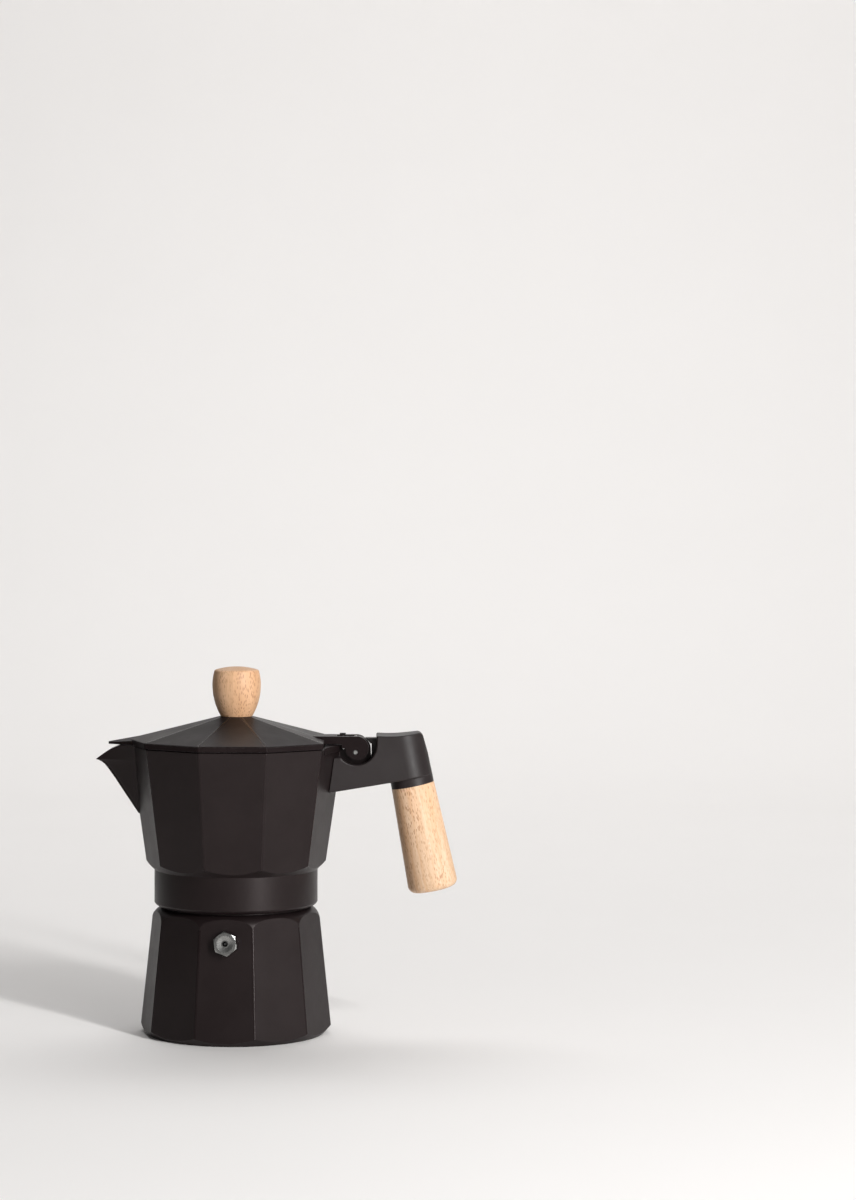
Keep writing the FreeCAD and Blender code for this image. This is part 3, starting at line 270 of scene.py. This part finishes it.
def coated(name, bare_from, ridges, rough=(0.36, 0.43), shine=0.22, wear_and_highlight_amount=0.30):
    """Satin near-black powder coat over cast aluminium, with bare_from saying where it ends."""
    look = Look(name, specular_ior_level=shine, specular_tint=(1.0, 0.90, 0.89))
    where = look.place()
    edge_normal, edge = look.soft_edges()

    cloud = look.noise(where, 45, detail=3, roughness=0.6)
    coat = look.blend(look.spread(cloud, 0.3, 0.7), *COAT)
    speck = look.spread(look.noise(where, 2600, detail=2, roughness=0.6), 0.62, 0.78)
    coat = look.blend(look.times(speck, 0.35), coat, COAT_SPECK)
    # Edges are lightened towards a paler coat: partly wear, partly a painted highlight where
    # rounded edges catch the light.
    wear_and_highlight_breakup = look.spread(look.noise(where, 900, detail=4, roughness=0.7), 0.35, 0.75)
    edge_wear_and_highlight = look.times(edge, wear_and_highlight_breakup, clamp=True)
    coat = look.blend(look.times(edge_wear_and_highlight, wear_and_highlight_amount), coat, COAT_WEAR_AND_HIGHLIGHT)
    gloss = look.spread(look.noise(where, 70, detail=4, roughness=0.6), 0.25, 0.75, *rough)
    polished = look.math("MAXIMUM", edge, look.ridges(where, *ridges))
    gloss = look.blend(polished, gloss, POLISHED, "FLOAT")
    peel = look.noise(where, 620)
    grain = look.noise(where, 5200, detail=1)
    height = look.math("ADD", peel, look.times(grain, 0.18))

    turning = look.noise(look.place(stretch=(60, 60, 2600)), 1)
    metal = look.blend(turning, *CAST)
    stain = look.spread(look.noise(where, 120, detail=5, roughness=0.65), 0.45, 0.75)
    metal = look.blend(look.times(stain, 0.45), metal, CAST_STAIN)
    cast_gloss = look.spread(look.noise(where, 260, detail=3, roughness=0.6), 0.3, 0.7, 0.36, 0.50)

    bare = bare_from(look, where)
    look.drive(
        base_color=look.blend(bare, coat, metal),
        metallic=bare,
        roughness=look.blend(bare, gloss, cast_gloss, "FLOAT"),
        normal=look.bump(height, depth=0.035 * MM, strength=0.7, normal=edge_normal),
    )
    return look.material


def facing_in(look, where):
    """1 where the surface faces the vertical axis, 0 where it faces away or along it."""
    x, y, _ = look.split(where)
    nx, ny, _ = look.normal()
    outward = look.math("ADD", look.times(x, nx), look.times(y, ny))
    return look.spread(outward, -1 * MM, -3 * MM)


def collector_bare(look, where):
    """The collector's inside, its floor and the inner side of its hinge lug."""
    _, _, z = look.split(where)
    _, _, up = look.normal()
    floor = look.times(look.spread(z, *COLLECTOR_FLOOR), look.spread(up, 0.90, 0.99))
    floor = look.times(floor, look.spread(look.radius(where), *COLLECTOR_BORE))
    return look.math("MAXIMUM", facing_in(look, where), floor, clamp=True)


def boiler_bare(look, where):
    """The boiler's inside, its floor and its threaded neck."""
    _, _, z = look.split(where)
    _, _, up = look.normal()
    floor = look.times(look.spread(z, *BOILER_FLOOR), look.spread(up, 0.4, 0.6))
    inside = look.math("MAXIMUM", facing_in(look, where), floor)
    return look.math("MAXIMUM", inside, look.spread(z, *BOILER_NECK), clamp=True)


def lid_bare(look, where):
    """The lid's underside."""
    _, _, z = look.split(where)
    _, _, up = look.normal()
    return look.times(look.spread(up, -0.4, -0.6), look.spread(z, *LID_UNDERSIDE), clamp=True)


def beech(name, start, turn, pale, deep, seed):
    """Varnished beech: fine long grain, soft growth bands and short dark flecks along the grain."""
    look = Look(name, specular_ior_level=0.38)
    shift = tuple(Vector(start) + SEED_SHIFT * seed * MM)

    def grain(along, scale, across=1, **settings):
        """Noise that is drawn out along the grain."""
        return look.noise(look.place(shift, turn, (1, across, along)), scale, **settings)

    fibre = grain(0.07, 2300, detail=3, roughness=0.65)
    bands = grain(0.03, 190, across=0.35, detail=3, roughness=0.55, distortion=0.35)
    tone = look.blend(look.spread(bands, 0.30, 0.68), pale, deep)
    for amount, color in (
        (look.spread(grain(0.025, 520), 0.46, 0.66, 0.0, 0.55), BEECH_STREAK),
        (look.spread(fibre, 0.40, 0.70, 0.0, 0.62), BEECH_FIBRE),
        (look.spread(grain(0.4, 42), 0.35, 0.75, 0.0, 0.35), BEECH_WARM),
    ):
        tone = look.blend(amount, tone, color)

    fleck = look.cells(look.place(shift, turn, (1, 1, 0.30)), 1500)
    chance = look.spread(grain(0.5, 620), 0.34, 0.50)
    patch = look.spread(grain(0.2, 95, detail=1), 0.30, 0.62, 0.35, 1.0)
    flecks = look.times(look.times(look.spread(fleck, 0.48, 0.24), chance), patch, clamp=True)
    tone = look.blend(look.times(flecks, 0.85), tone, BEECH_FLECK)
    _, _, up = look.normal()
    end_grain = look.spread(look.math("ABSOLUTE", up), 0.80, 0.97, 0.0, 0.45)
    tone = look.blend(end_grain, tone, BEECH_END)

    gloss = look.blend(look.spread(fibre, 0.3, 0.7), 0.40, 0.52, "FLOAT")
    height = look.math("SUBTRACT", look.times(fibre, 0.6), look.times(flecks, 0.8))
    bump = look.bump(height, depth=0.03 * MM, strength=0.5)
    look.drive(base_color=tone, roughness=gloss, normal=bump)
    return look.material


def moulded(name):
    """Satin black moulded plastic with a fine spark-eroded grain."""
    look = Look(name, specular_ior_level=0.36)
    where = look.place()
    edge_normal, edge = look.soft_edges()
    cloud = look.noise(where, 60, detail=3, roughness=0.6)
    tone = look.blend(look.spread(cloud, 0.3, 0.7), *PLASTIC)
    tone = look.blend(look.times(edge, 0.35), tone, PLASTIC_EDGE)
    gloss = look.spread(look.noise(where, 150, detail=4, roughness=0.6), 0.3, 0.7, 0.42, 0.50)
    grain = look.noise(where, 2400, detail=3, roughness=0.6)
    bump = look.bump(grain, depth=0.02 * MM, strength=0.6, normal=edge_normal)
    look.drive(base_color=tone, roughness=gloss, normal=bump)
    return look.material


def machined(name, color, roughness, start, turn, rings=9000, dark=0.55, stained=0.45):
    """Turned or spun metal: fine rings about an axis, with some wear and stain."""
    look = Look(name, metallic=1.0)
    where = look.place(start, turn)
    _, _, z = look.split(where)
    # The rings go by radius and by height, so that both ends and sides have them.
    path = look.math("ADD", look.radius(where), look.times(z, 0.6))
    along = look.add("ShaderNodeCombineXYZ")
    look.feed(along.inputs["X"], path)
    groove = look.noise(along.outputs["Vector"], rings, detail=2, roughness=0.6)
    stain = look.spread(look.noise(where, 700, detail=4, roughness=0.65), 0.42, 0.72)
    shade = tuple(channel * dark for channel in color)
    tone = look.blend(look.times(stain, stained), color, shade)
    tone = look.blend(look.spread(groove, 0.35, 0.65, 0.0, 0.25), tone, shade)
    mottle = look.math("ADD", look.times(stain, stained * 2), groove)
    gloss = look.spread(mottle, 0.3, 1.3, roughness, roughness + 0.16)
    bump = look.bump(groove, depth=0.012 * MM, strength=0.6)
    look.drive(base_color=tone, roughness=gloss, normal=bump)
    return look.material


def pliable(name, tones, roughness, scale):
    """Matt rubber or fibre with a fine mottle."""
    look = Look(name, specular_ior_level=0.35)
    where = look.place()
    mottle = look.noise(where, scale, detail=4, roughness=0.65)
    tone = look.blend(look.spread(mottle, 0.3, 0.7), *tones)
    dust = look.noise(where, scale * 4)
    gloss = look.spread(dust, 0.3, 0.7, roughness, roughness + 0.15)
    bump = look.bump(dust, depth=0.03 * MM, strength=0.7)
    look.drive(base_color=tone, roughness=gloss, normal=bump)
    return look.material


def paper(name):
    """The matt backdrop, with a faint cloudiness."""
    look = Look(name, roughness=0.75, specular_ior_level=0.2)
    where = look.place()
    cloud = look.noise(where, 9, detail=3)
    tooth = look.noise(where, 900)
    tone = look.blend(cloud, *PAPER)
    bump = look.bump(tooth, depth=0.05 * MM, strength=0.3)
    look.drive(base_color=tone, normal=bump)
    return look.material


def dress(node, material):
    """Gives a CAD node a finished material in place of its flat one."""
    for slot in NODES[node].material_slots:
        slot.material = material


def dress_nodes():
    dress("base_boiler", coated("coat_boiler", boiler_bare, BOILER_RIDGES))
    dress("collector", coated("coat_collector", collector_bare, COLLECTOR_RIDGES))
    # The lid's edges and ridges are lightened strongly: mostly a painted highlight standing in for
    # ridges catching the light.
    dress("lid", coated("coat_lid", lid_bare, LID_RIDGES, rough=(0.37, 0.44), shine=0.09,
                        wear_and_highlight_amount=0.75))
    dress("handle_bracket", moulded("black_plastic"))
    dress("lid_knob", beech("beech_knob", *KNOB_FRAME, *KNOB_BEECH, seed=3))
    dress("handle_grip", beech("beech_grip", *GRIP_FRAME, *GRIP_BEECH, seed=11))
    dress("valve_body", machined("valve_nickel", NICKEL, 0.26, *VALVE_FRAME,
                                 dark=0.6, stained=0.1))
    for node, name, color, roughness, axis in (
        ("valve_plunger", "plunger_dark_steel", DARK_STEEL, 0.35, VALVE_FRAME),
        ("valve_seat", "seat_brass", BRASS, 0.30, VALVE_FRAME),
        ("hinge_pin", "pin_steel", NICKEL, 0.34, PIN_FRAME),
        ("bracket_screw", "bracket_screw_steel", STEEL, 0.30, SCREW_FRAME),
        ("grip_screw", "grip_screw_steel", STEEL, 0.30, GRIP_FRAME),
        ("grip_washer", "grip_washer_steel", SILVER, 0.28, GRIP_FRAME),
        ("grip_insert", "grip_insert_brass", BRASS, 0.32, GRIP_FRAME),
        ("knob_screw", "knob_screw_steel", STEEL, 0.30, UPRIGHT),
        ("knob_washer", "knob_washer_steel", SILVER, 0.28, UPRIGHT),
        ("knob_insert", "knob_insert_brass", BRASS, 0.32, UPRIGHT),
    ):
        dress(node, machined(name, color, roughness, *axis))
    for node, name, color, roughness, rings in (
        ("funnel", "funnel_spun", SPUN, 0.30, 5200),
        ("funnel_strainer", "strainer_sheet", SPUN, 0.34, 5200),
        ("filter_plate", "filter_sheet", SPUN, 0.32, 5200),
        ("riser_column", "column_cast", COLUMN, 0.38, 3800),
    ):
        dress(node, machined(name, color, roughness, *UPRIGHT, rings))
    dress("gasket", pliable("silicone_white", SILICONE, roughness=0.55, scale=900))
    dress("valve_washer", pliable("fibre_dark", FIBRE, roughness=0.7, scale=2600))


def add_object(name, data):
    thing = bpy.data.objects.new(name, data)
    bpy.context.scene.collection.objects.link(thing)
    return thing


def valve_coil():
    """The valve's spring in the CAD node's own shape, shown in place of the CAD node."""
    coil = add_object("valve_coil", NODES["valve_spring"].data.copy())
    coil.data.materials.clear()
    coil.data.materials.append(machined("spring_steel", STEEL, 0.28, *VALVE_FRAME))
    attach(coil, "base")
    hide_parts("valve_spring")
    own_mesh(coil)


def sweep(name, front, back, height, bend, left, right):
    """A floor that curves up into a wall, in one smooth sheet."""
    profile = [(front, 0.0)]
    steps = 24
    for step in range(steps + 1):
        angle = math.pi / 2 * step / steps
        profile.append((back - bend + bend * math.sin(angle), bend - bend * math.cos(angle)))
    profile.append((back, height))
    verts = [(x, y, z) for y, z in profile for x in (left, right)]
    faces = [(2 * i, 2 * i + 1, 2 * i + 3, 2 * i + 2) for i in range(len(profile) - 1)]
    mesh = bpy.data.meshes.new(name)
    mesh.from_pydata(verts, [], faces)
    for face in mesh.polygons:
        face.use_smooth = True
    return add_object(name, mesh)


def soft_light(name, power, size, place, aim):
    """A rectangular light that faces a point."""
    lamp = bpy.data.lights.new(name, "AREA")
    lamp.shape = "RECTANGLE"
    lamp.size, lamp.size_y = size
    lamp.energy = power
    thing = add_object(name, lamp)
    thing.location = place
    thing.rotation_euler = (Vector(aim) - Vector(place)).to_track_quat("-Z", "Y").to_euler()


def studio_sky():
    """Dim light from all around, which the coat mirrors where it sees no lamp or wall."""
    world = bpy.data.worlds.new("studio")
    bpy.context.scene.world = world
    world.use_nodes = True
    tree = world.node_tree
    tree.nodes.clear()
    output = tree.nodes.new("ShaderNodeOutputWorld")
    sky = tree.nodes.new("ShaderNodeBackground")
    sky.inputs["Color"].default_value = SKY_COLOR
    direction = tree.nodes.new("ShaderNodeTexCoord")
    toward = tree.nodes.new("ShaderNodeVectorMath")
    toward.operation = "DOT_PRODUCT"
    toward.inputs[1].default_value = SKY_BRIGHTEST
    strength = tree.nodes.new("ShaderNodeMapRange")
    for socket, number in zip(("From Min", "From Max", "To Min", "To Max"),
                              (-1, 1, *SKY_STRENGTH)):
        strength.inputs[socket].default_value = number
    tree.links.new(direction.outputs["Generated"], toward.inputs[0])
    tree.links.new(toward.outputs["Value"], strength.inputs["Value"])
    tree.links.new(strength.outputs["Result"], sky.inputs["Strength"])
    tree.links.new(sky.outputs["Background"], output.inputs["Surface"])


def photo_camera():
    """The camera at the photograph's angle."""
    lens = bpy.data.cameras.new("camera")
    lens.lens = LENS
    lens.sensor_width = SENSOR
    lens.clip_end = FAR_CLIP
    camera = add_object("camera", lens)
    back = CAMERA_RIGHT.cross(CAMERA_UP).normalized()
    axes = Matrix((CAMERA_RIGHT, back.cross(CAMERA_RIGHT), back)).transposed().to_4x4()
    camera.matrix_world = Matrix.Translation(CAMERA_PLACE) @ axes
    bpy.context.scene.camera = camera


dress_nodes()
valve_coil()

backdrop = sweep("backdrop", front=-2.6, back=1.7, height=1.22, bend=0.7, left=-0.5, right=1.6)
backdrop.data.materials.append(paper("backdrop_paper"))

for light, settings in LIGHTS.items():
    soft_light(light, *settings)
studio_sky()
bpy.context.scene.view_settings.view_transform = "Standard"
photo_camera()
